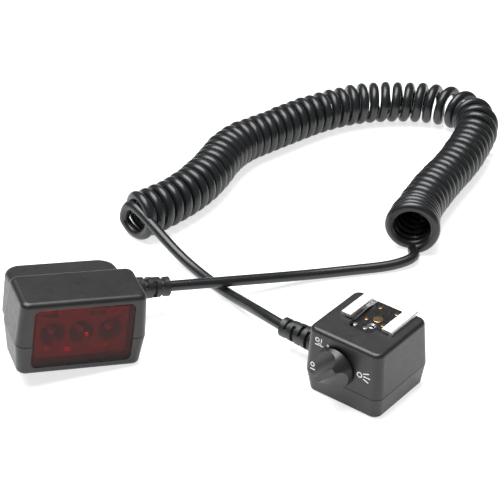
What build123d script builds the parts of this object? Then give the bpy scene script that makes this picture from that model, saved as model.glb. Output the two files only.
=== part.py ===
from build123d import *
import math
import os

os.makedirs("parts", exist_ok=True)

# ---------------------------------------------------------------- layout
# Row frame: +X along the flash unit's width, +Y from its selector face to its rear, +Z up.
# Both units stand in one frame; each is drawn upright at its own origin and then placed.
FLASH_AT = (0.0, 0.0, 0.0)
CAMERA_AT = (-80.85, -60.20, 3.24)
CAMERA_YAW = 59.2
CAMERA_ROLL = 8.27
SHIFT = (52.74, 31.09)

# ---------------------------------------------------------------- flash unit
F_W, F_D, F_H = 32.0, 31.3, 26.5
F_SPLIT = 8.7
F_TOP_IN, F_BOT_IN = 0.95, 1.1
F_R = 3.2
WALL = 1.8
SEAM_H, SEAM_DEPTH = 0.25, 0.35

SHOE_X, SHOE_Y0, SHOE_Y1 = 0.3, -1.9, 14.7
SHOE_OUT, SHOE_IN, SHOE_GAP = 21.5, 18.7, 13.1
LIP_TOP, LIP_T, CHANNEL_H = 28.0, 1.0, 2.1
CHANNEL_Z = LIP_TOP - LIP_T - CHANNEL_H
PLATE_T, BASE_T = 0.8, 0.6
TAB_W, TAB_Y = 9.6, -5.7
PLATE_END = 14.75
EYELET_AT = (0.9, 0.9)
EYELET_R, EYELET_BORE = 1.6, 0.9

KNOB_X, KNOB_Z = -2.1, 15.6
KNOB_R0, KNOB_R1, KNOB_H = 7.4, 5.6, 6.2
SCOOP_R, SCOOP_OFF, SCOOP_Z = 6.5, 7.3, 7.8
KNOB_GAP = 0.8
BAR_ANGLE = 44.5
KNOB_TRAVEL = 106.5
SHAFT_R = 1.5

RELIEF_R0, RELIEF_R1, RELIEF_L, RELIEF_ROOT = 4.4, 3.55, 20.4, 6.5
RELIEF_IN, RELIEF_TIP = 1.2, 1.8
SLOT_W, SLOT_PITCH, SLOT_CORE = 1.5, 3.25, 2.75
CORD_D = 4.1

# ---------------------------------------------------------------- camera unit
C_W, C_D, C_H = 47.4, 22.6, 28.7
C_SPLIT = 11.8
C_TOP_IN, C_BOT_IN = 1.0, 1.3
C_TOP_D, C_TOP_Y = 20.6, 10.9
C_BOT_D, C_BOT_Y = 18.2, 9.5
C_WALL = 3.2
C_R = 3.2
B_W, B_Y0, B_Y1 = 41.5, 19.0, 38.4
B_Z0, B_Z1, B_Z2 = 6.5, 24.2, 22.4
B_CORNER, B_RIM = 6.5, 2.2
COVER_TOP, COVER_Y0 = 8.5, 21.6
POST_AT = (16.8, 34.0)
WIN_W, WIN_Z0, WIN_Z1, WIN_R = 36.6, 2.7, 26.0, 2.2
FOOT_W, FOOT_L, FOOT_T = 18.6, 18.0, 2.0
FOOT_Y = 29.2
NECK_W, NECK_H = 12.4, 4.0
NECK_Y0, NECK_Y1 = 21.0, 37.8
RELIEF_AT = (29.6, 13.4)

# ---------------------------------------------------------------- cord route (tube centre lines)
COIL_OD = 18.0
COIL_Z = 9.05
COIL_RUN = [
    (-35.6, 81.0), (-42.5, 93.0), (-48.5, 118.0), (-52.5, 145.0), (-63.5, 178.5),
    (-86.0, 181.5), (-111.5, 163.5), (-124.0, 142.5), (-130.5, 113.5), (-135.5, 90.0),
    (-125.0, 61.0), (-124.5, 36.0), (-128.0, 20.8),
]
CAMERA_LEAD = [
    (-84.44, -8.41, 10.58), (-70.2, 15.9, 6.35), (-55.6, 40.6, 2.25), (-44.0, 54.6, 2.12),
    (-34.0, 66.2, 2.1), (-29.4, 76.2, 3.1), (-29.2, 84.2, 6.2),
]
FLASH_LEAD = [
    (-131.0, 22.4, 16.0), (-116.0, 20.3, 9.6), (-102.0, 17.9, 4.2), (-88.0, 15.0, 2.15),
    (-72.0, 11.2, 2.3), (-59.0, 6.7, 5.1), (-47.5, 1.9, 8.4), (-36.4, 0.0, 8.7),
]


def draft(w0, d0, z0, w1, d1, z1, r, y0=0.0, y1=0.0):
    """Block whose rounded-rectangle section changes from z0 to z1; y0 and y1 shift the two ends."""
    low = Plane.XY.offset(z0) * Pos(0, y0) * RectangleRounded(w0, d0, r)
    high = Plane.XY.offset(z1) * Pos(0, y1) * RectangleRounded(w1, d1, r)
    return loft(Sketch() + [low, high])


def box(x0, x1, y0, y1, z0, z1):
    return Pos((x0 + x1) / 2, (y0 + y1) / 2, (z0 + z1) / 2) * Box(x1 - x0, y1 - y0, z1 - z0)


def rod_z(x, y, z0, z1, r):
    return Pos(x, y, (z0 + z1) / 2) * Cylinder(r, z1 - z0)


def rod_y(x, y0, y1, z, r):
    return Pos(x, (y0 + y1) / 2, z) * Rot(90, 0, 0) * Cylinder(r, y1 - y0)


def rod_x(x0, x1, y, z, r):
    return Pos((x0 + x1) / 2, y, z) * Rot(0, 90, 0) * Cylinder(r, x1 - x0)


def rounded_box(w, d, h, r):
    return extrude(RectangleRounded(w, d, r), h)


def tube(points, radius):
    """Round bar along straight runs joined by tangent arcs."""
    pts = [Vector(*p) for p in points]
    radii = []
    for a, b, c in zip(pts, pts[1:], pts[2:]):
        turn = math.radians((b - a).get_angle(c - b))
        run = min((b - a).length, (c - b).length)
        radii.append(0.45 * run / math.tan(turn / 2))
    path = FilletPolyline(*pts, radius=radii)
    section = Plane(origin=pts[0], z_dir=pts[1] - pts[0]) * Circle(radius)
    solid = sweep(section, path=path)
    print("tube: length %.1f mm, smallest bend %.1f mm, volume/section %.1f mm" % (
        path.length, min(radii), solid.volume / (math.pi * radius ** 2)))
    return solid


def top_edges(solid):
    return solid.edges().group_by(Axis.Z)[-1]


def bottom_edges(solid):
    return solid.edges().group_by(Axis.Z)[0]


def strain_relief():
    """Moulded sleeve along -X from the wall face at x = 0, slotted in turn on both sides."""
    body = rod_x(-RELIEF_ROOT, RELIEF_IN, 0, 0, RELIEF_R0)
    flex = RELIEF_L - RELIEF_ROOT
    body += Pos(-RELIEF_ROOT - flex / 2, 0, 0) * Rot(0, -90, 0) * Cone(RELIEF_R0, RELIEF_R1, flex)
    body += rod_x(-RELIEF_L, -RELIEF_L + RELIEF_TIP, 0, 0, RELIEF_R1 + 0.15)
    for i in range(4):
        x = -RELIEF_ROOT - 1.3 - SLOT_PITCH * i
        ring = rod_x(x - SLOT_W / 2, x + SLOT_W / 2, 0, 0, 6.0)
        ring -= rod_x(x - SLOT_W, x + SLOT_W, 0, 0, SLOT_CORE)
        side = 0 if i % 2 else 90
        for turn in (0, 180):
            half = Pos(x, 0, 0) * Rot(side + turn, 0, 0) * Pos(0, 0, 4.2) * Box(3, 12, 5.6)
            body -= ring & half
    return body


def seam_cut(w, d, z, r, y=0.0):
    """Frame that leaves a fine groove all round a body just below its split."""
    slab = Pos(0, y, z - SEAM_H) * rounded_box(w + 4, d + 4, SEAM_H, r)
    core = Pos(0, y, z - SEAM_H) * rounded_box(w - 2 * SEAM_DEPTH, d - 2 * SEAM_DEPTH, SEAM_H, r - SEAM_DEPTH)
    return slab - core


# ================================================================ flash unit
def flash_upper():
    body = draft(F_W, F_D, F_SPLIT, F_W - 2 * F_TOP_IN, F_D - 2 * F_TOP_IN, F_H, F_R)
    body = fillet(top_edges(body), 1.6)
    inner = draft(F_W - 2 * WALL, F_D - 2 * WALL, F_SPLIT - 0.01,
                  F_W - 2 * F_TOP_IN - 2 * WALL, F_D - 2 * F_TOP_IN - 2 * WALL, 22.4, 1.6)
    body -= inner
    for sx in (-1, 1):
        for sy in (-1, 1):
            body += rod_z(sx * 11.6, sy * 11.3, F_SPLIT, 22.4, 2.0)
            body -= rod_z(sx * 11.6, sy * 11.3, F_SPLIT - 1, 16.0, 0.9)
    z_base = CHANNEL_Z - PLATE_T - BASE_T
    body -= box(SHOE_X - SHOE_OUT / 2 - 0.05, SHOE_X + SHOE_OUT / 2 + 0.05, SHOE_Y0 - 0.05, 20, z_base, 40)
    tab = Pos(SHOE_X - 0.5, (TAB_Y + 5) / 2, z_base) * rounded_box(TAB_W, 5 - TAB_Y, 20, 2.2)
    body -= tab
    body -= box(-4.6, 5.6, 1.0, 13.2, 20, 26)
    body -= rod_y(KNOB_X, -20, -10, KNOB_Z, SHAFT_R + 0.06)
    body -= rod_x(-20, -10, 0, F_SPLIT, RELIEF_R0 + 0.05)
    return body


def flash_lower():
    body = draft(F_W - 2 * F_BOT_IN, F_D - 2 * F_BOT_IN, 0, F_W, F_D, F_SPLIT, F_R)
    body = fillet(bottom_edges(body), 1.0)
    inner = draft(F_W - 2 * F_BOT_IN - 2 * WALL, F_D - 2 * F_BOT_IN - 2 * WALL, 2.0,
                  F_W - 2 * WALL, F_D - 2 * WALL, F_SPLIT + 0.01, 1.6)
    body -= inner
    body += rod_z(0, 0, 1.5, 7.0, 7.0)
    for sx in (-1, 1):
        for sy in (-1, 1):
            body += rod_z(sx * 11.6, sy * 11.3, 1.0, F_SPLIT, 2.6)
            body -= rod_z(sx * 11.6, sy * 11.3, -1, 2.2, 2.1)
            body -= rod_z(sx * 11.6, sy * 11.3, 0, 10, 1.15)
    body -= rod_z(0, 0, -1, 6.2, 4.6)
    body -= rod_x(-20, -10, 0, F_SPLIT, RELIEF_R0 + 0.05)
    body -= seam_cut(F_W, F_D, F_SPLIT, F_R)
    return body


def tripod_bush():
    bush = rod_z(0, 0, 0.15, 6.2, 4.6)
    bush = chamfer(bottom_edges(bush), 0.4)
    return bush - rod_z(0, 0, -1, 5.6, 3.175)


def screw(x, y, z0, length, r_shank, r_head, h_head, up=1):
    """Pan-head screw whose head seats at z0; the shank points up (or down for up = -1)."""
    head = rod_z(0, 0, -h_head, 0, r_head)
    head = fillet(head.edges().group_by(Axis.Z)[0], 0.3)
    for turn in (0, 90):
        head -= Rot(0, 0, turn) * box(-r_head * 0.62, r_head * 0.62, -0.18, 0.18, -h_head - 0.1, -h_head + 0.5)
    body = head + rod_z(0, 0, 0, length, r_shank)
    if up < 0:
        body = Rot(180, 0, 0) * body
    return Pos(x, y, z0) * body


def shoe_bracket():
    z0 = CHANNEL_Z - PLATE_T - BASE_T
    half = SHOE_OUT / 2
    body = box(-half, half, SHOE_Y0, SHOE_Y1, z0, LIP_TOP)
    body -= box(-SHOE_IN / 2, SHOE_IN / 2, SHOE_Y0 - 1, SHOE_Y1 + 1, z0 + BASE_T, LIP_TOP - LIP_T)
    body -= box(-SHOE_GAP / 2, SHOE_GAP / 2, SHOE_Y0 - 1, SHOE_Y1 + 1, z0 + BASE_T, LIP_TOP + 1)
    outer = [e for e in body.edges().filter_by(Axis.Y)
             if abs(abs(e.center().X) - half) < 0.01 and e.center().Z > LIP_TOP - 0.01]
    body = fillet(outer, 0.6)
    tips = [e for e in body.edges().filter_by(Axis.Z)
            if e.center().Z > LIP_TOP - LIP_T and abs(abs(e.center().X) - SHOE_GAP / 2) < 0.01
            and e.center().Y > 10]
    body = fillet(tips, 1.6)
    body -= box(-4.9, 5.3, 1.0, 13.2, z0 - 1, z0 + BASE_T + 0.1)
    return Pos(SHOE_X, 0, 0) * body


PINS = {
    "shoe_pin_1": (-2.9, 3.3), "shoe_pin_2": (-2.9, 11.8), "shoe_pin_3": (3.9, 11.8), "shoe_pin_4": (3.9, 3.3),
}
SYNC_AT = (0.5, 5.3)
PIN_R, SYNC_R, PIN_UP, FLANGE = 0.85, 1.9, 0.3, 0.35


def contact_plate():
    z0 = CHANNEL_Z - PLATE_T
    plate = box(SHOE_X - SHOE_IN / 2 + 0.1, SHOE_X + SHOE_IN / 2 - 0.1, SHOE_Y0 + 0.2, PLATE_END, z0, CHANNEL_Z)
    tab = Pos(SHOE_X - 0.5, (TAB_Y + 0.15 + 5) / 2, z0) * rounded_box(TAB_W - 0.3, 4.85 - TAB_Y, PLATE_T, 2.0)
    plate += tab
    for x, y in PINS.values():
        plate -= rod_z(x, y, z0 - 1, 30, PIN_R + 0.05)
    plate -= rod_z(*SYNC_AT, z0 - 1, 30, SYNC_R + 0.05)
    plate -= rod_z(*EYELET_AT, z0 - 1, 30, EYELET_R + 0.05)
    for x, y in RIVETS:
        plate -= rod_z(x, y, z0 - 1, 30, 0.5)
    return plate


RIVETS = [(-4.1, -1.9), (-0.05, -1.7)]


def lock_eyelet():
    """Countersunk steel ring that takes the flash foot's locking pin."""
    x, y = EYELET_AT
    ring = rod_z(x, y, CHANNEL_Z - PLATE_T, CHANNEL_Z, EYELET_R) - rod_z(x, y, 20, 30, EYELET_BORE)
    sink = Pos(x, y, CHANNEL_Z - 0.25) * Cone(EYELET_BORE, EYELET_R - 0.15, 0.5)
    return ring - sink


def contact_pin(at, r):
    x, y = at
    body = rod_z(x, y, CHANNEL_Z - 3.4, CHANNEL_Z + PIN_UP, r)
    body = fillet(top_edges(body), min(0.25, r / 3))
    z1 = CHANNEL_Z - PLATE_T - 0.03
    return body + rod_z(x, y, z1 - FLANGE, z1, r + 0.35)


def plate_rivets():
    z0 = CHANNEL_Z
    out = []
    for x, y in RIVETS:
        stud = rod_z(x, y, z0 - PLATE_T, z0, 0.5) + rod_z(x, y, z0, z0 + 0.35, 0.85)
        out.append(fillet(top_edges(stud), 0.2))
    return out


def leaf_spring():
    """Bowed strip beside the contacts that presses the flash foot up against the lips."""
    x0, x1 = SHOE_X - SHOE_IN / 2 + 0.9, SHOE_X - SHOE_GAP / 2 + 0.45
    z = CHANNEL_Z
    line = Polyline((0.0, z), (3.0, z), (6.4, z + 0.6), (8.6, z + 0.6), (12.2, z), (14.3, z),
                    (14.3, z + 0.3), (12.3, z + 0.3), (8.7, z + 0.9), (6.3, z + 0.9), (2.9, z + 0.3), (0.0, z + 0.3),
                    close=True)
    face = make_face(Plane.YZ * line)
    return Pos(x0, 0, 0) * extrude(face, x1 - x0, dir=(1, 0, 0))


def contact_board():
    board = box(-7.5, 8.5, -0.5, 12.8, 17.6, 18.6)
    for x, y in PINS.values():
        board += rod_z(x, y, 18.6, 20.2, 0.7)
    return board + rod_z(*SYNC_AT, 18.6, 20.2, 1.5)


def knob_face_y():
    return -(F_D / 2 - F_TOP_IN * (KNOB_Z - F_SPLIT) / (F_H - F_SPLIT))


def selector_knob():
    """Round base with two scoops that leave a pointer bar; axis along -Y, drawn here along +Z."""
    body = Pos(0, 0, KNOB_H / 2) * Cone(KNOB_R0, KNOB_R1, KNOB_H)
    body = fillet(top_edges(body), 0.5)
    for s in (-1, 1):
        body -= Pos(0, s * SCOOP_OFF, SCOOP_Z) * Rot(0, 90, 0) * Cylinder(SCOOP_R, 40)
    nose = Pos(-KNOB_R0 + 1.6, 0, KNOB_H) * Box(1.6, 0.8, 1.2)
    body -= nose
    body -= Pos(0, 0, 1.8) * Cylinder(SHAFT_R, 3.6 + 0.001)
    body = Rot(0, 0, BAR_ANGLE) * body
    return Pos(KNOB_X, knob_face_y() - KNOB_GAP, KNOB_Z) * Rot(90, 0, 0) * body


def knob_shaft():
    y_front = knob_face_y() - KNOB_GAP - 3.6
    return rod_y(KNOB_X, y_front, -6.2, KNOB_Z, SHAFT_R)


def detent_cam():
    cam = rod_y(KNOB_X, -12.4, -10.6, KNOB_Z, 4.4)
    for deg in (0, KNOB_TRAVEL):
        a = math.radians(90 + deg)
        cam -= rod_y(KNOB_X + 4.9 * math.cos(a), -13, -10, KNOB_Z + 4.9 * math.sin(a), 0.9)
    return cam - rod_y(KNOB_X, -13, -10, KNOB_Z, SHAFT_R)


def detent_spring():
    """Flat spring above the cam with a small nose, held in the switch body."""
    strip = box(KNOB_X - 5.5, KNOB_X + 5.5, -12.0, -11.0, KNOB_Z + 5.6, KNOB_Z + 5.95)
    strip += rod_y(KNOB_X, -12.0, -11.0, KNOB_Z + 5.4, 0.6)
    strip += box(KNOB_X - 5.5, KNOB_X - 4.6, -12.0, -9.4, KNOB_Z + 5.0, KNOB_Z + 5.95)
    return strip


def switch_body():
    body = box(KNOB_X - 6.0, KNOB_X + 6.0, -9.4, -3.8, KNOB_Z - 5.0, KNOB_Z + 6.0)
    return body - rod_y(KNOB_X, -12, -5.4, KNOB_Z, SHAFT_R + 0.08)


def flash_board():
    board = box(4.0, 12.2, -9.0, 9.0, 9.4, 10.6)
    board += box(4.0, 12.2, -2.0, 2.0, 7.0, 9.4) - rod_z(0, 0, 0, 9, 7.05)
    board += box(6.0, 10.5, 3.0, 7.0, 10.6, 12.0)
    board += box(6.5, 10.0, -7.0, -3.0, 10.6, 11.8)
    return board


def cord_anchor():
    """Crimp collar on the cord's jacket just inside the shell wall."""
    x = -F_W / 2 + WALL
    return rod_x(x + 0.1, x + 3.1, 0, F_SPLIT, 3.4)


# ================================================================ camera unit
def front_block():
    low = draft(C_W - 2 * C_BOT_IN, C_BOT_D, 0, C_W, C_D, C_SPLIT, C_R, C_BOT_Y, C_D / 2)
    high = draft(C_W, C_D, C_SPLIT, C_W - 2 * C_TOP_IN, C_TOP_D, C_H, C_R, C_D / 2, C_TOP_Y)
    high = fillet(top_edges(high), 2.0)
    low = fillet(bottom_edges(low), 1.6)
    return low, high


def rear_block():
    side = [(B_Y0, B_Z0), (B_Y1, B_Z0), (B_Y1, B_Z2), (B_Y0 - 4, B_Z1 + 1.2), (B_Y0 - 4, B_Z0 + 6), (B_Y0, B_Z0 + 6)]
    face = make_face(Plane.YZ * Polyline(*side, close=True))
    body = Pos(-B_W / 2, 0, 0) * extrude(face, B_W, dir=(1, 0, 0))
    corners = [e for e in body.edges().filter_by(Axis.Z) if e.center().Y > B_Y1 - 0.1]
    body = fillet(corners, B_CORNER)
    rim = [e for e in body.edges() if e.center().Z > B_Z2 - 0.05 and e.center().Y > B_Y0 + 3
           and not e.is_closed and abs(e.tangent_at(0.5).Z) < 0.5]
    return fillet(rim, B_RIM)


def rear_cavity(y0, z0, z1):
    """Hollow of the rear block from y0 back, with its rear corners following the outside."""
    half = B_W / 2 - WALL
    body = box(-half, half, y0, B_Y1 - 2.0, z0, z1)
    corners = [e for e in body.edges().filter_by(Axis.Z) if e.center().Y > B_Y1 - 2.1]
    return fillet(corners, B_CORNER - WALL)


def camera_shells():
    low, high = front_block()
    rear = rear_block()
    upper = high + (rear & box(-40, 40, 0, 60, COVER_TOP, 40))
    cover = rear & box(-40, 40, COVER_Y0, 60, 0, COVER_TOP)
    side = C_W / 2 - C_WALL
    upper -= box(-side, side, 1.6, 18.0, C_SPLIT - 0.01, C_H - 2.2)
    upper -= rear_cavity(16.0, C_SPLIT, 20.2)
    upper -= rear_cavity(C_D + 1.6, COVER_TOP - 0.5, C_SPLIT + 1)
    low -= box(-side, side, 1.6, 17.0, 2.0, C_SPLIT + 0.01)
    upper -= low
    window = box(-WIN_W / 2, WIN_W / 2, -2, 2.4, WIN_Z0, WIN_Z1)
    window = fillet(window.edges().filter_by(Axis.Y), WIN_R)
    upper -= window
    low -= window
    low -= seam_cut(C_W, C_D, C_SPLIT, C_R, C_D / 2)
    for sx in (-1, 1):
        x, y = sx * POST_AT[0], POST_AT[1]
        upper += rod_z(x, y, COVER_TOP, 20.3, 2.1)
        upper -= rod_z(x, y, 8.0, 16.0, 0.9)
        cover -= rod_z(x, y, 0, 10, 1.15)
        cover -= rod_z(x, y, 0, 7.6, 2.1)
        upper += rod_z(sx * 20.4, 14.8, C_SPLIT, C_H - 2.2, 2.0) & box(-21.2, 21.2, 0, 18.0, 0, 40)
        low += rod_z(sx * 20.2, 14.4, 1.9, C_SPLIT, 2.0) & box(-21.0, 21.0, 0, 18.0, 0, 40)
        upper -= rod_z(sx * 20.2, 14.4, C_SPLIT - 1, 17.0, 0.75)
        low -= rod_z(sx * 20.2, 14.4, 1, 14, 0.95)
        low -= rod_z(sx * 20.2, 14.4, -1, 1.6, 1.8)
    upper -= rod_x(19.3, 40, *RELIEF_AT, RELIEF_R0 + 0.05)
    upper -= rod_x(10, 20, *RELIEF_AT, 3.0)
    upper -= box(-1.8, 4.8, B_Y1 - 3, B_Y1 + 2, 11.0, 13.4)
    upper -= rod_z(*LOCK_AT, 8, 16.0, 2.1)
    low -= rod_z(*LOCK_AT, 5, 16.0, 2.1)
    for x, y in CAM_PINS.values():
        cover -= rod_z(x, y, 0, 10, PIN_R + 0.4)
    cover -= rod_z(*CAM_SYNC, 0, 10, SYNC_R + 0.4)
    cover -= rod_z(*LOCK_AT, 0, 10, 1.4)
    return upper, low, cover


def window_panel():
    panel = box(-WIN_W / 2 + 0.15, WIN_W / 2 - 0.15, 0.0, 1.5, WIN_Z0 + 0.15, WIN_Z1 - 0.15)
    return fillet(panel.edges().filter_by(Axis.Y), WIN_R - 0.15)


def window_tilt(part):
    """Seats the panel just behind the front face."""
    return Pos(0, 0.35, 0) * part


LED_X = (-10.5, 0.0, 10.5)


def lamp_reflector():
    block = box(-16.6, 16.6, 3.4, 8.6, 5.0, 24.0)
    for x in LED_X:
        cup = Pos(x, 5.2, 14.6) * Rot(90, 0, 0) * Cone(1.9, 4.8, 4.4)
        block -= cup
        block -= rod_y(x, 5, 10, 14.6, 1.9)
    return block


def lamp_leds():
    out = []
    for x in LED_X:
        led = rod_y(x, 5.6, 9.8, 14.6, 1.5) + Pos(x, 5.6, 14.6) * Sphere(1.5)
        led += rod_y(x, 9.0, 9.8, 14.6, 1.8)
        out.append(led)
    return out


def lamp_board():
    board = box(-17.0, 17.0, 9.8, 11.0, 5.0, 24.0)
    board += box(-9.0, -1.0, 11.0, 13.0, 8.0, 14.0)
    board += box(3.0, 8.0, 11.0, 12.4, 15.0, 20.0)
    return board


CAM_PINS = {"foot_pin_1": (-4.1, 26.0), "foot_pin_2": (-4.1, 32.4), "foot_pin_3": (4.1, 32.4), "foot_pin_4": (4.1, 26.0)}
CAM_SYNC = (0.0, FOOT_Y)
FOOT_Z1 = B_Z0 - NECK_H
FOOT_Z0 = FOOT_Z1 - FOOT_T
LOCK_AT = (0.0, FOOT_Y - 6.6)


def foot_block():
    """Insulating block through the foot: fills the neck and carries the contacts."""
    neck = box(-NECK_W / 2, NECK_W / 2, NECK_Y0, NECK_Y1, FOOT_Z1 - 0.9, B_Z0)
    for x, y in CAM_PINS.values():
        neck -= rod_z(x, y, -5, 10, PIN_R + 0.05)
    neck -= rod_z(*CAM_SYNC, -5, 10, SYNC_R + 0.05)
    neck -= rod_z(*LOCK_AT, -5, 10, 1.05)
    return neck


def shoe_foot():
    plate = box(-FOOT_W / 2, FOOT_W / 2, FOOT_Y - FOOT_L / 2, FOOT_Y + FOOT_L / 2, FOOT_Z0, FOOT_Z1)
    plate = fillet(plate.edges().filter_by(Axis.Z), 1.0)
    plate = chamfer([e for e in plate.edges().filter_by(Axis.X)], 0.35)
    plate -= box(-NECK_W / 2, NECK_W / 2, NECK_Y0, NECK_Y1, FOOT_Z1 - 0.9, 10)
    for x, y in CAM_PINS.values():
        plate -= rod_z(x, y, -5, 10, PIN_R + 0.45)
    plate -= rod_z(*CAM_SYNC, -5, 10, SYNC_R + 0.45)
    plate -= rod_z(*LOCK_AT, -5, 10, 1.4)
    return plate


def foot_pin(at, r):
    x, y = at
    body = rod_z(x, y, FOOT_Z0 - 0.35, 9.4, r)
    return fillet(bottom_edges(body), min(0.25, r / 3))


def rear_board():
    board = box(-14.5, 8.0, 22.6, 34.6, 16.6, 17.8)
    for x, y in CAM_PINS.values():
        board += rod_z(x, y, 10.6, 16.6, 0.6)
    return board + rod_z(*CAM_SYNC, 10.6, 16.6, 1.2)


LEVER_TRAVEL, LOCK_TRAVEL = 3.0, 1.5


def lock_lever():
    """Thumb slider at the rear face that draws the locking pin up into the foot."""
    stem = box(-1.4, 1.4, 34.9, B_Y1 + 0.3, 11.4, 13.0)
    grip = box(-1.5, 1.5, B_Y1 + 0.3, B_Y1 + 1.9, 10.0, 14.4)
    grip = fillet(grip.edges().filter_by(Axis.X), 0.5)
    return stem + grip


def lock_pin():
    x, y = LOCK_AT
    pin = rod_z(x, y, FOOT_Z0 + 0.2, 12.0, 1.0)
    return fillet(bottom_edges(pin), 0.3) + rod_z(x, y, 11.0, 12.0, 1.5)


def camera_anchor():
    x = B_W / 2 - WALL
    return rod_x(x - 3.1, x - 0.1, *RELIEF_AT, 2.8)


# ================================================================ build and export
def as_node(solids, name):
    if not isinstance(solids, list):
        solids = solids.solids()
    return Compound(list(solids)) if len(solids) > 1 else solids[0]


flash = {
    "flash_upper_shell": flash_upper(),
    "flash_lower_shell": flash_lower(),
    "tripod_bush": tripod_bush(),
    "flash_screws": [screw(sx * 11.6, sy * 11.3, 2.2, 9.5, 0.9, 1.8, 1.1) for sx in (-1, 1) for sy in (-1, 1)],
    "shoe_bracket": shoe_bracket(),
    "contact_plate": contact_plate(),
    "plate_rivets": plate_rivets(),
    "lock_eyelet": lock_eyelet(),
    "shoe_spring": leaf_spring(),
    "contact_board": contact_board(),
    "sync_contact": contact_pin(SYNC_AT, SYNC_R),
    "selector_knob": selector_knob(),
    "knob_shaft": knob_shaft(),
    "detent_cam": detent_cam(),
    "detent_spring": detent_spring(),
    "switch_body": switch_body(),
    "flash_board": flash_board(),
    "flash_relief": Pos(-F_W / 2, 0, F_SPLIT) * strain_relief(),
    "flash_cord_anchor": cord_anchor(),
}
for pin_name, at in PINS.items():
    flash[pin_name] = contact_pin(at, PIN_R)

upper, lower, floor_plate = camera_shells()
camera = {
    "camera_upper_shell": upper,
    "camera_lower_shell": lower,
    "camera_base_cover": floor_plate,
    "lamp_window": window_tilt(window_panel()),
    "lamp_reflector": lamp_reflector(),
    "lamp_leds": lamp_leds(),
    "lamp_board": lamp_board(),
    "rear_board": rear_board(),
    "foot_block": foot_block(),
    "shoe_foot": shoe_foot(),
    "foot_sync_contact": foot_pin(CAM_SYNC, SYNC_R),
    "lock_lever": lock_lever(),
    "lock_pin": lock_pin(),
    "camera_screws": [screw(sx * 20.2, 14.4, 1.6, 13.0, 0.75, 1.6, 0.9) for sx in (-1, 1)]
    + [screw(sx * POST_AT[0], POST_AT[1], 7.6, 7.6, 0.9, 1.8, 0.9) for sx in (-1, 1)],
    "camera_relief": Pos(B_W / 2, *RELIEF_AT) * Rot(0, 0, 180) * strain_relief(),
    "camera_cord_anchor": camera_anchor(),
}
for pin_name, at in CAM_PINS.items():
    camera[pin_name] = foot_pin(at, PIN_R)

cord = {
    "camera_lead": tube(CAMERA_LEAD, CORD_D / 2),
    "coiled_cord": tube([(x, y, COIL_Z) for x, y in COIL_RUN], COIL_OD / 2),
    "flash_lead": tube(FLASH_LEAD, CORD_D / 2),
}

shift = Pos(SHIFT[0], SHIFT[1], 0)
place_camera = Pos(*CAMERA_AT) * Rot(0, 0, CAMERA_YAW) * Rot(0, CAMERA_ROLL, 0)
placed = {}
for name, solid in flash.items():
    placed[name] = shift * Pos(*FLASH_AT) * as_node(solid, name)
for name, solid in camera.items():
    placed[name] = shift * place_camera * as_node(solid, name)
bounds = Compound([s for s in placed.values()]).bounding_box()
print("units x %.3f %.3f y %.3f %.3f z %.3f %.3f" % (
    bounds.min.X, bounds.max.X, bounds.min.Y, bounds.max.Y, bounds.min.Z, bounds.max.Z))
for name, solid in cord.items():
    placed[name] = shift * as_node(solid, name)

for name, solid in placed.items():
    solid.label = name
    print("%-20s solids %d volume %.1f valid %s" % (name, len(solid.solids()), solid.volume, solid.is_valid))
    export_step(solid, "parts/" + name + ".step")
print(len(placed), "nodes")
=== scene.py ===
"""Looks of a wired off-camera flash cord: two shoe units joined by a curly cord."""
import math

import bmesh
import bpy
from mathutils import Matrix, Vector


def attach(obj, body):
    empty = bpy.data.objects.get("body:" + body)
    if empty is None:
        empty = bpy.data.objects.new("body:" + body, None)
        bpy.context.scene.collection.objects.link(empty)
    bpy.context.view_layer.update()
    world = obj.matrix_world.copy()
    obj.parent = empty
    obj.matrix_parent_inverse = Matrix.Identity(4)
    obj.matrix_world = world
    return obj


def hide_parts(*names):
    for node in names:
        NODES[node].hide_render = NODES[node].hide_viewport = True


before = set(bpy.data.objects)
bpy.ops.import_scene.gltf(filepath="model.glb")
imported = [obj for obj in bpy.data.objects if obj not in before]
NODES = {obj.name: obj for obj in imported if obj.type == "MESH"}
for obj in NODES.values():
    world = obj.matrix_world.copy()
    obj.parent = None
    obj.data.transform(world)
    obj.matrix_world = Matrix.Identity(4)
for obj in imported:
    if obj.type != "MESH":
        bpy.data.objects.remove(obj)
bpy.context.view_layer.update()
SCENE = bpy.context.scene
ROOT = "units_and_cord"
MM = 0.001

# ------------------------------------------------------------ places shared with the CAD, in metres
SHIFT = Vector((0.05274, 0.03109, 0.0))
FLASH = Matrix.Translation(SHIFT)
CAMERA_UNIT = (
    Matrix.Translation(SHIFT + Vector((-0.08085, -0.06020, 0.00324)))
    @ Matrix.Rotation(math.radians(59.2), 4, "Z")
    @ Matrix.Rotation(math.radians(8.27), 4, "Y")
)
CORD_D = 0.0041

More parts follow.
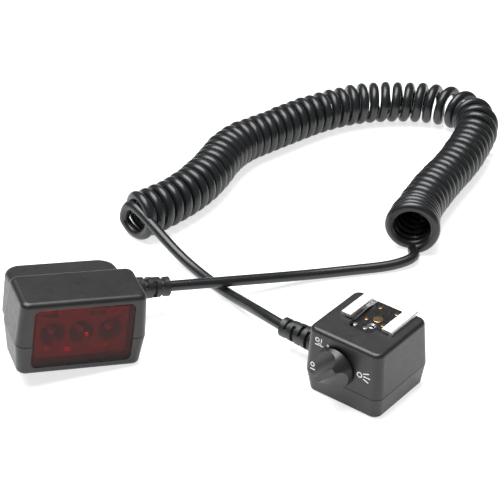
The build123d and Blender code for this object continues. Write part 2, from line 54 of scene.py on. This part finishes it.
# Cord routes before the shift: the CAD tubes' points, less the last of the camera lead.
CAMERA_LEAD = [
    (-0.08444, -0.00841, 0.01058), (-0.0702, 0.0159, 0.00635), (-0.0556, 0.0406, 0.00225),
    (-0.044, 0.0546, 0.00212), (-0.034, 0.0662, 0.0021), (-0.0294, 0.0762, 0.0031),
]
COIL_RUN = [
    (-0.0356, 0.081, 0.00905), (-0.0425, 0.093, 0.00905), (-0.0485, 0.118, 0.00905),
    (-0.0525, 0.145, 0.00905), (-0.0635, 0.1785, 0.00905), (-0.086, 0.1815, 0.00905),
    (-0.1115, 0.1635, 0.00905), (-0.124, 0.1425, 0.00905), (-0.1305, 0.1135, 0.00905),
    (-0.1355, 0.09, 0.00905), (-0.125, 0.061, 0.00905), (-0.1245, 0.036, 0.00905),
    (-0.128, 0.0208, 0.00905),
]
FLASH_LEAD = [
    (-0.131, 0.0224, 0.016), (-0.116, 0.0203, 0.0096), (-0.102, 0.0179, 0.0042),
    (-0.088, 0.015, 0.00215), (-0.072, 0.0112, 0.0023), (-0.059, 0.0067, 0.0051),
    (-0.0475, 0.0019, 0.0084), (-0.0364, 0.0, 0.0087),
]

# ------------------------------------------------------------ camera
camera = bpy.data.objects.new("camera", bpy.data.cameras.new("camera"))
SCENE.collection.objects.link(camera)
camera.location = (0.31865, -0.36718, 0.36191)
camera.rotation_euler = (math.radians(57.346), 0, math.radians(38.61))
camera.data.lens = 121.79
camera.data.sensor_width = 36
camera.data.clip_start = 0.01
camera.data.clip_end = 20
SCENE.camera = camera


# ------------------------------------------------------------ cord
def spline_curve(name, points):
    """Curve object with one open NURBS spline of order 3 through the given control points."""
    data = bpy.data.curves.new(name, "CURVE")
    data.dimensions = "3D"
    spline = data.splines.new("NURBS")
    spline.points.add(len(points) - 1)
    for control, point in zip(spline.points, points):
        control.co = (*point, 1)
        control.radius = CORD_D / 2
    spline.order_u = 3
    spline.use_endpoint_u = True
    obj = bpy.data.objects.new(name, data)
    SCENE.collection.objects.link(obj)
    return obj


def read_spline(points):
    """Points along the NURBS spline of a route, with the distance to each from its start."""
    obj = spline_curve("route", points)
    obj.data.resolution_u = 40
    bpy.context.view_layer.update()
    mesh = bpy.data.meshes.new_from_object(obj)
    line = [v.co.copy() for v in mesh.vertices]
    bpy.data.objects.remove(obj)
    bpy.data.meshes.remove(mesh)
    reach = [0.0]
    for a, b in zip(line, line[1:]):
        reach.append(reach[-1] + (b - a).length)
    return line, reach


def point_at(line, reach, s):
    s = min(max(s, 0.0), reach[-1] - 1e-9)
    low, high = 0, len(reach) - 1
    while high - low > 1:
        middle = (low + high) // 2
        if reach[middle] <= s:
            low = middle
        else:
            high = middle
    share = (s - reach[low]) / max(reach[high] - reach[low], 1e-12)
    return line[low].lerp(line[high], share)


def blend_value(stops, share):
    """Value between (share, value) stops, in straight lines."""
    for (a, x), (b, y) in zip(stops, stops[1:]):
        if share <= b:
            return x + (y - x) * (share - a) / (b - a)
    return stops[-1][1]


PER_TURN = 16
START_PHASE = math.pi
# Advance per turn and the coil's outer radius, each by distance from the start of the coil.
PITCH_STOPS = [
    (0, 0.0037), (0.010, 0.0039), (0.020, 0.0041), (0.070, 0.0042), (0.080, 0.0046), (0.090, 0.0060),
    (0.099, 0.0072), (0.118, 0.0072), (0.126, 0.0056), (0.150, 0.0052), (0.180, 0.0049), (0.200, 0.0043),
    (0.214, 0.0042), (0.221, 0.0050), (0.230, 0.0042), (0.240, 0.0046), (0.265, 0.0045), (0.300, 0.0050),
]
OUTER_STOPS = [
    (0, 0.0112), (0.008, 0.0104), (0.016, 0.0095), (0.030, 0.0092), (0.045, 0.0090), (0.080, 0.0090),
    (0.092, 0.0094), (0.110, 0.0090), (0.208, 0.0090), (0.232, 0.0093), (0.288, 0.0095), (0.300, 0.0099),
]


def coil_points():
    """Left-handed turns about the coil's axis, resting on the floor."""
    line, reach = read_spline([Vector(p) + SHIFT for p in COIL_RUN])
    shrink = (3 + math.cos(math.tau / PER_TURN)) / 4
    points = []
    s = 0.0
    turn = 0.0
    while s < reach[-1]:
        here = point_at(line, reach, s)
        ahead = point_at(line, reach, s + 0.004) - point_at(line, reach, s - 0.004)
        side = Vector((0, 0, 1)).cross(ahead.normalized())
        radius = blend_value(OUTER_STOPS, s) - CORD_D / 2
        radius += 0.00008 * math.sin(0.83 * turn) + 0.00006 * math.sin(2.3 * turn + 1)
        phase = START_PHASE + math.tau * turn
        centre = Vector((here.x, here.y, radius + CORD_D / 2 + 0.00005))
        arm = radius / shrink
        points.append(centre + Vector((0, 0, arm * math.cos(phase))) + side * arm * math.sin(phase))
        s += blend_value(PITCH_STOPS, s) / PER_TURN
        turn += 1 / PER_TURN
    return points


def make_cord():
    lead_in = [Vector(p) + SHIFT for p in CAMERA_LEAD]
    lead_out = [Vector(p) + SHIFT for p in FLASH_LEAD]
    cord = spline_curve("curly_cord", lead_in + coil_points() + lead_out)
    cord.data.resolution_u = 4
    cord.data.bevel_depth = 1.0
    cord.data.bevel_resolution = 5
    cord.data.use_fill_caps = True
    return cord


cord = make_cord()
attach(cord, ROOT)
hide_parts("camera_lead", "coiled_cord", "flash_lead")


# ------------------------------------------------------------ materials
def new_material(name, base, rough, metallic=0.0, specular=0.5, coat=0.0):
    made = bpy.data.materials.new(name)
    made.use_nodes = True
    shader = made.node_tree.nodes["Principled BSDF"]
    shader.inputs["Base Color"].default_value = (*base, 1)
    shader.inputs["Roughness"].default_value = rough
    shader.inputs["Metallic"].default_value = metallic
    shader.inputs["Specular IOR Level"].default_value = specular
    shader.inputs["Coat Weight"].default_value = coat
    return made, shader


def add_node(material, kind, **values):
    node = material.node_tree.nodes.new(kind)
    for key, value in values.items():
        if key in node.inputs:
            node.inputs[key].default_value = value
        else:
            setattr(node, key, value)
    return node


def join(material, out_socket, in_socket):
    material.node_tree.links.new(out_socket, in_socket)


def place(material, stretch=(1, 1, 1)):
    coords = add_node(material, "ShaderNodeTexCoord")
    mapping = add_node(material, "ShaderNodeMapping")
    mapping.inputs["Scale"].default_value = stretch
    join(material, coords.outputs["Object"], mapping.inputs["Vector"])
    return mapping.outputs["Vector"]


def noise(material, vector, scale, detail=2.0, rough=0.5):
    node = add_node(material, "ShaderNodeTexNoise")
    node.inputs["Scale"].default_value = scale
    node.inputs["Detail"].default_value = detail
    node.inputs["Roughness"].default_value = rough
    join(material, vector, node.inputs["Vector"])
    return node.outputs["Fac"]


def ramp(material, value, stops):
    node = add_node(material, "ShaderNodeValToRGB")
    while len(node.color_ramp.elements) < len(stops):
        node.color_ramp.elements.new(0.5)
    for element, (at, colour) in zip(node.color_ramp.elements, stops):
        element.position = at
        element.color = (*colour, 1) if len(colour) == 3 else colour
    join(material, value, node.inputs["Fac"])
    return node.outputs["Color"]


def spread(material, value, low, high):
    node = add_node(material, "ShaderNodeMapRange")
    node.inputs["From Min"].default_value = 0.25
    node.inputs["From Max"].default_value = 0.75
    node.inputs["To Min"].default_value = low
    node.inputs["To Max"].default_value = high
    join(material, value, node.inputs["Value"])
    return node.outputs["Result"]


def bump(material, value, distance, strength, under=None):
    node = add_node(material, "ShaderNodeBump")
    node.inputs["Strength"].default_value = strength
    node.inputs["Distance"].default_value = distance
    join(material, value, node.inputs["Height"])
    if under is not None:
        join(material, under, node.inputs["Normal"])
    return node.outputs["Normal"]


def moulded(name, dark, light, rough, grain, depth, strength, specular=0.5):
    """Moulded plastic or rubber: cloudy tone, uneven gloss, and a fine spark-eroded grain."""
    made, shader = new_material(name, light, rough, specular=specular)
    where = place(made)
    cloud = noise(made, where, 90, 3, 0.6)
    join(made, ramp(made, cloud, [(0.3, dark), (0.7, light)]), shader.inputs["Base Color"])
    fine = noise(made, where, grain, 2, 0.6)
    gloss = noise(made, where, 420, 3, 0.6)
    join(made, spread(made, gloss, rough - 0.05, rough + 0.05), shader.inputs["Roughness"])
    join(made, bump(made, fine, depth, strength), shader.inputs["Normal"])
    return made


HOUSING = moulded(
    "housing_plastic", (0.0085, 0.0083, 0.0079), (0.0120, 0.0116, 0.0108), 0.38, 5200, 0.00004, 0.5)
KNOB = moulded("knob_plastic", (0.010, 0.010, 0.010), (0.0145, 0.0145, 0.014), 0.37, 6500, 0.00002, 0.4)
RELIEF = moulded("relief_rubber", (0.009, 0.0095, 0.010), (0.013, 0.0135, 0.014), 0.40, 4200, 0.00003, 0.4)
JACKET = moulded("cord_jacket", (0.0075, 0.008, 0.0085), (0.0105, 0.011, 0.012), 0.30, 1500, 0.00002, 0.2)
CAM = moulded("cam_plastic", (0.5, 0.5, 0.47), (0.6, 0.6, 0.56), 0.4, 3000, 0.00002, 0.3)


def metal(name, dark, light, rough, stretch=(1, 1, 1), scratch=900, depth=0.000004):
    """Plated or machined metal with fine directional scratches and slight tarnish."""
    made, shader = new_material(name, light, rough, metallic=1.0)
    where = place(made, stretch)
    lines = noise(made, where, scratch, 4, 0.65)
    cloud = noise(made, place(made), 160, 3, 0.6)
    join(made, ramp(made, cloud, [(0.3, dark), (0.7, light)]), shader.inputs["Base Color"])
    join(made, spread(made, lines, rough * 0.7, rough * 1.4), shader.inputs["Roughness"])
    join(made, bump(made, lines, depth, 0.35), shader.inputs["Normal"])
    return made


RAIL = metal("plated_rail", (0.93, 0.935, 0.95), (0.97, 0.975, 0.985), 0.46, (9, 1, 1), 1200, 0.000002)
SPRING = metal("spring_steel", (0.72, 0.71, 0.69), (0.86, 0.85, 0.83), 0.30, (8, 1, 1), 1500)
CONTACT = metal("contact_metal", (0.34, 0.20, 0.10), (0.58, 0.38, 0.21), 0.20, (1, 1, 1), 2600)
STEEL = metal("turned_steel", (0.55, 0.55, 0.55), (0.78, 0.78, 0.79), 0.24, (1, 1, 6), 1600)
SCREW = metal("screw_steel", (0.05, 0.05, 0.052), (0.11, 0.11, 0.115), 0.38, (1, 1, 1), 2000)
BRASS = metal("bush_brass", (0.50, 0.42, 0.24), (0.68, 0.58, 0.36), 0.28, (1, 1, 5), 1500)


def insulator():
    made, shader = new_material("insulator_plastic", (0.012, 0.012, 0.013), 0.14)
    where = place(made)
    smear = noise(made, place(made, (1, 5, 1)), 320, 4, 0.6)
    join(made, spread(made, smear, 0.08, 0.26), shader.inputs["Roughness"])
    speck = noise(made, where, 1300, 2, 0.7)
    join(made, ramp(made, speck, [(0.45, (0.010, 0.010, 0.011)), (0.8, (0.035, 0.030, 0.026))]),
         shader.inputs["Base Color"])
    join(made, bump(made, smear, 0.00001, 0.2), shader.inputs["Normal"])
    return made


def red_window():
    made, shader = new_material("red_window", (0.84, 0.022, 0.016), 0.02)
    shader.inputs["Transmission Weight"].default_value = 1.0
    shader.inputs["IOR"].default_value = 1.28
    ripple = noise(made, place(made), 130, 2, 0.5)
    join(made, bump(made, ripple, 0.00001, 0.1), shader.inputs["Normal"])
    smear = noise(made, place(made, (1, 1, 3)), 260, 3, 0.6)
    join(made, spread(made, smear, 0.01, 0.04), shader.inputs["Roughness"])
    return made


def circuit_board():
    made, shader = new_material("circuit_board", (0.02, 0.09, 0.04), 0.35)
    tracks = noise(made, place(made, (1, 6, 1)), 260, 1, 0.4)
    join(made, ramp(made, tracks, [(0.45, (0.012, 0.06, 0.03)), (0.52, (0.03, 0.13, 0.06))]),
         shader.inputs["Base Color"])
    return made


def led_resin():
    made, shader = new_material("led_resin", (0.30, 0.015, 0.015), 0.12)
    shader.inputs["Transmission Weight"].default_value = 0.6
    cloud = noise(made, place(made), 700, 2, 0.5)
    join(made, spread(made, cloud, 0.08, 0.18), shader.inputs["Roughness"])
    return made


def holder_plastic():
    made, shader = new_material("lamp_holder", (0.006, 0.005, 0.005), 0.2)
    cloud = noise(made, place(made), 500, 3, 0.6)
    join(made, spread(made, cloud, 0.12, 0.24), shader.inputs["Roughness"])
    return made


def print_ink():
    made, shader = new_material("white_print", (0.80, 0.80, 0.79), 0.5)
    cloud = noise(made, place(made), 2500, 3, 0.7)
    join(made, ramp(made, cloud, [(0.35, (0.62, 0.62, 0.61)), (0.6, (0.85, 0.85, 0.84))]),
         shader.inputs["Base Color"])
    return made


INSULATOR = insulator()
WINDOW = red_window()
BOARD = circuit_board()
LED = led_resin()
HOLDER = holder_plastic()
INK = print_ink()


def dress(material, *names):
    for name in names:
        slots = NODES[name].material_slots
        if not len(slots):
            NODES[name].data.materials.append(material)
        for one in slots:
            one.material = material


PINS = ("1", "2", "3", "4")
dress(HOUSING, "flash_upper_shell", "flash_lower_shell", "camera_upper_shell", "camera_lower_shell",
      "camera_base_cover")
dress(KNOB, "selector_knob", "lock_lever")
dress(RELIEF, "flash_relief", "camera_relief", "flash_cord_anchor", "camera_cord_anchor")
dress(RAIL, "shoe_bracket")
dress(SPRING, "shoe_spring", "detent_spring")
dress(INSULATOR, "contact_plate", "foot_block", "switch_body")
dress(CONTACT, "sync_contact", "foot_sync_contact", *["shoe_pin_" + n for n in PINS],
      *["foot_pin_" + n for n in PINS])
dress(STEEL, "plate_rivets", "lock_eyelet", "knob_shaft", "lock_pin", "shoe_foot")
dress(BRASS, "tripod_bush")
dress(SCREW, "flash_screws", "camera_screws")
dress(CAM, "detent_cam")
dress(BOARD, "contact_board", "flash_board", "lamp_board", "rear_board")
dress(WINDOW, "lamp_window")
dress(HOLDER, "lamp_reflector")
dress(LED, "lamp_leds")
cord.data.materials.append(JACKET)


# ------------------------------------------------------------ small pieces made here
def mesh_piece(name, cells, material, matrix):
    """One object from closed prisms, each given as two matching rings of points in millimetres."""
    build = bmesh.new()
    for low, high in cells:
        ring = [[build.verts.new(matrix @ (Vector(p) * MM)) for p in points] for points in (low, high)]
        build.faces.new(ring[0][::-1])
        build.faces.new(ring[1])
        count = len(low)
        for i in range(count):
            j = (i + 1) % count
            build.faces.new((ring[0][i], ring[0][j], ring[1][j], ring[1][i]))
    bmesh.ops.recalc_face_normals(build, faces=build.faces)
    mesh = bpy.data.meshes.new(name)
    build.to_mesh(mesh)
    build.free()
    obj = bpy.data.objects.new(name, mesh)
    SCENE.collection.objects.link(obj)
    mesh.materials.append(material)
    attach(obj, ROOT)
    return obj


# The selector face above the split, in millimetres: it leans back by FACE_LEAN over FACE_RISE.
FACE_OUT, FACE_LEAN, FACE_FOOT, FACE_RISE = 15.65, 0.95, 8.7, 17.8
MARK_WIDTH, MARK_PROUD, MARK_SUNK = 0.42, 0.04, 0.1


def flash_face(x, z, lift=0.0):
    """Point on the flash unit's selector face, lift millimetres proud of it."""
    return (x, -FACE_OUT + FACE_LEAN * (z - FACE_FOOT) / FACE_RISE - lift, z)


def printed(outline):
    """Thin prism on the selector face from an outline of (x, z) points."""
    return ([flash_face(x, z, MARK_PROUD) for x, z in outline],
            [flash_face(x, z, -MARK_SUNK) for x, z in outline])


def stroke(a, b, width=MARK_WIDTH):
    """Flat printed bar from a to b on the selector face."""
    across = Vector((b[0] - a[0], b[1] - a[1])).normalized() * width / 2
    corners = [(a[0] - across.y, a[1] + across.x), (b[0] - across.y, b[1] + across.x),
               (b[0] + across.y, b[1] - across.x), (a[0] + across.y, a[1] - across.x)]
    return printed(corners)


def strokes(points, width=MARK_WIDTH):
    return [stroke(a, b, width) for a, b in zip(points, points[1:])]


def disc(x, z, radius, count=16):
    ring = [(x + radius * math.cos(math.tau * i / count), z + radius * math.sin(math.tau * i / count))
            for i in range(count)]
    return [printed(ring)]


def arc(x, z, radius, start, end, count=10):
    angles = [math.radians(start + (end - start) * i / count) for i in range(count + 1)]
    return [(x + radius * math.cos(a), z + radius * math.sin(a)) for a in angles]


marks = strokes(arc(-10.6, 22.9, 0.75, 0, 360)) + strokes([(-8.9, 22.1), (-8.9, 23.7)])
marks += strokes([(-11.5, 20.9), (-8.0, 20.9)]) + strokes([(-10.2, 21.3), (-9.6, 21.8), (-9.0, 21.3)], 0.3)
marks += disc(-6.1, 22.2, 0.5)
marks += strokes(arc(-12.0, 12.1, 0.75, 0, 360)) + strokes([(-12.9, 10.2), (-9.4, 10.2)])
marks += strokes([(-10.4, 11.3), (-9.9, 12.6), (-9.4, 11.3)], 0.34) + disc(-8.2, 12.6, 0.45)
marks += strokes(arc(7.6, 16.5, 0.95, 0, 360)) + strokes([(9.2, 16.5), (12.0, 16.5)])
marks += strokes([(9.1, 17.5), (11.4, 18.3)]) + strokes([(9.1, 15.5), (11.4, 14.7)])
mesh_piece("selector_marks", marks, INK, FLASH)


def facet(x0, x1, z):
    """Sloped ledge of the clear lens moulding behind the window."""
    edge = [(2.0, z), (3.3, z + 0.8), (3.3, z - 0.2)]
    return ([(x0, y, h) for y, h in edge], [(x1, y, h) for y, h in edge])


def lens_gloss():
    made, shader = new_material("lens_facet", (0.95, 0.9, 0.9), 0.1, metallic=1.0)
    cloud = noise(made, place(made), 900, 3, 0.6)
    join(made, spread(made, cloud, 0.06, 0.2), shader.inputs["Roughness"])
    return made


ledges = [
    facet(-14.6, -9.2, 22.2), facet(2.2, 7.8, 22.0), facet(4.0, 9.6, 8.6), facet(-6.0, -3.0, 7.8),
    facet(-13.0, -11.2, 9.2), facet(12.2, 13.6, 19.0), facet(-3.4, -1.4, 17.2), facet(1.0, 2.4, 13.4),
]
mesh_piece("lens_ledges", ledges, lens_gloss(), CAMERA_UNIT)


# ------------------------------------------------------------ floor and lights
def make_floor():
    size = 3.0
    mesh = bpy.data.meshes.new("floor")
    mesh.from_pydata(
        [(-size, -size, -0.0002), (size, -size, -0.0002), (size, size, -0.0002), (-size, size, -0.0002)],
        [], [(0, 1, 2, 3)])
    floor = bpy.data.objects.new("floor", mesh)
    SCENE.collection.objects.link(floor)
    made, shader = new_material("floor_paper", (0.55, 0.55, 0.55), 0.8, specular=0.1)
    shader.inputs["Emission Color"].default_value = (1.0, 1.0, 1.0, 1)
    shader.inputs["Emission Strength"].default_value = 0.72
    mesh.materials.append(made)


def area_light(name, location, aim, size, power, colour):
    data = bpy.data.lights.new(name, "AREA")
    data.shape = "RECTANGLE"
    data.size, data.size_y = size
    data.energy = power
    data.color = colour
    lamp = bpy.data.objects.new(name, data)
    SCENE.collection.objects.link(lamp)
    lamp.location = location
    lamp.rotation_mode = "QUATERNION"
    lamp.rotation_quaternion = (Vector(aim) - Vector(location)).to_track_quat("-Z", "Y")
    return lamp


def radiance_power(size, radiance):
    return radiance * math.pi * size[0] * size[1]


make_floor()
TOP_SIZE = (0.95, 0.75)
area_light("overhead_softbox", (-0.22, 0.02, 0.92), (-0.05, 0.03, 0), TOP_SIZE, radiance_power(TOP_SIZE, 9.0),
           (0.97, 0.985, 1.0))
world = bpy.data.worlds.new("studio")
SCENE.world = world
world.use_nodes = True
backdrop = world.node_tree.nodes["Background"]
backdrop.inputs["Color"].default_value = (1.0, 1.0, 1.0, 1)
backdrop.inputs["Strength"].default_value = 0.22
SCENE.view_settings.view_transform = "Standard"
